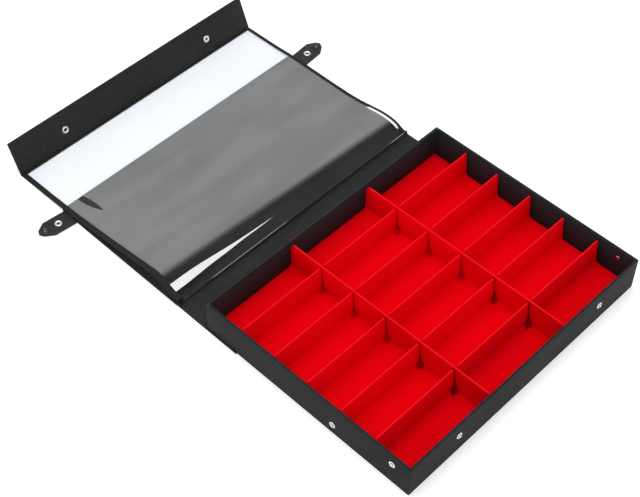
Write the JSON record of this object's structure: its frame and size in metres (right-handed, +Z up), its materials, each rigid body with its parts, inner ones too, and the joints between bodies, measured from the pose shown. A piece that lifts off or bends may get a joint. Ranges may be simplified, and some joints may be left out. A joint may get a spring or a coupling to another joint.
{
  "type": "sunglasses display case",
  "caption": "Shallow lined tray with a grid of velvet compartments and a soft two-layer lid: a clear window sheet and a solid cover, folding over together and snapping down.",
  "frame": {"origin": "centre of the tray's underside, on the surface it rests on", "axes": "+Z up, -Y the tray's front wall, +Y towards the hinged lid, +X to the right seen from the front; the lid lies open behind the tray"},
  "size_m": [0.6026, 0.8332, 0.06],
  "materials": {
    "black_leatherette": "fine grained matte leatherette",
    "black_lining": "smooth matte lining cloth",
    "red_velvet": "short pile velvet",
    "clear_film": "soft clear vinyl film",
    "binding": "ribbed woven binding tape",
    "board": "plain grey-brown board",
    "nickel": "bright nickel plate",
    "black_snap": "satin black lacquer"
  },
  "bodies": {
    "tray": {"base_board": "board", "bottom_lining": "black_leatherette", "divider_left_1": "red_velvet", "divider_left_2": "red_velvet", "divider_left_3": "red_velvet", "divider_left_4": "red_velvet", "divider_left_5": "red_velvet", "divider_middle_1": "red_velvet", "divider_middle_2": "red_velvet", "divider_middle_3": "red_velvet", "divider_middle_4": "red_velvet", "divider_middle_5": "red_velvet", "divider_right_1": "red_velvet", "divider_right_2": "red_velvet", "divider_right_3": "red_velvet", "divider_right_4": "red_velvet", "divider_right_5": "red_velvet", "floor_pad_left": "red_velvet", "floor_pad_middle": "red_velvet", "floor_pad_right": "red_velvet", "front_board": "board", "front_studs": "nickel", "hinge_strip": "black_leatherette", "inner_lining": "black_lining", "left_board": "board", "outer_wrap": "black_leatherette", "partition_left": "red_velvet", "partition_right": "red_velvet", "rear_board": "board", "right_board": "board", "rivet_caps": "black_snap", "side_studs": "nickel"},
    "spine": {"film_riser": "clear_film", "rear_welt": "binding", "riser_bindings": "binding", "spine_board": "board", "spine_inner_skin": "black_leatherette", "spine_outer_skin": "black_leatherette"},
    "window": {"film_crease": "clear_film", "front_welt": "binding", "left_binding": "binding", "right_binding": "binding", "window_film": "clear_film"},
    "front_flap": {"flap_board": "board", "flap_caps": "black_snap", "flap_inner_skin": "black_leatherette", "flap_outer_skin": "black_leatherette", "flap_sockets": "nickel"},
    "cover": {"cover_board": "board", "cover_inner_skin": "black_leatherette", "cover_outer_skin": "black_leatherette"},
    "left_tab": {"left_tab": "black_leatherette", "left_tab_caps": "black_snap", "left_tab_ring_snap": "nickel", "left_tab_tip_snap": "black_snap"},
    "right_tab": {"right_tab": "black_leatherette", "right_tab_caps": "black_snap", "right_tab_ring_snap": "nickel", "right_tab_tip_snap": "black_snap"}
  },
  "joints": [
    {"name": "spine_fold", "type": "hinge", "parent": "tray", "child": "spine", "pos_m": [0, 0.1914, 0.002], "axis": [1, 0, 0], "range_deg": [0, 90]},
    {"name": "cover_fold", "type": "hinge", "parent": "spine", "child": "cover", "pos_m": [0, 0.2534, 0.0013], "axis": [1, 0, 0], "range_deg": [0, 90]},
    {"name": "film_fold", "type": "hinge", "parent": "spine", "child": "window", "pos_m": [0, 0.2508, 0.021], "axis": [1, 0, 0], "range_deg": [0, 93.17]},
    {"name": "flap_fold", "type": "hinge", "parent": "window", "child": "front_flap", "pos_m": [0, 0.61649, 0.0016], "axis": [1, 0, 0], "range_deg": [-60, 17.84]},
    {"name": "left_tab_fold", "type": "hinge", "parent": "cover", "child": "left_tab", "pos_m": [-0.2453, 0.4955, 0.0018], "axis": [0, 1, 0], "range_deg": [0, 90]},
    {"name": "right_tab_fold", "type": "hinge", "parent": "cover", "child": "right_tab", "pos_m": [0.2453, 0.4955, 0.0018], "axis": [0, -1, 0], "range_deg": [0, 90]}
  ],
  "couplings": [
    {"joint": "film_fold", "follows": "cover_fold", "ratio": 1.0351}
  ]
}
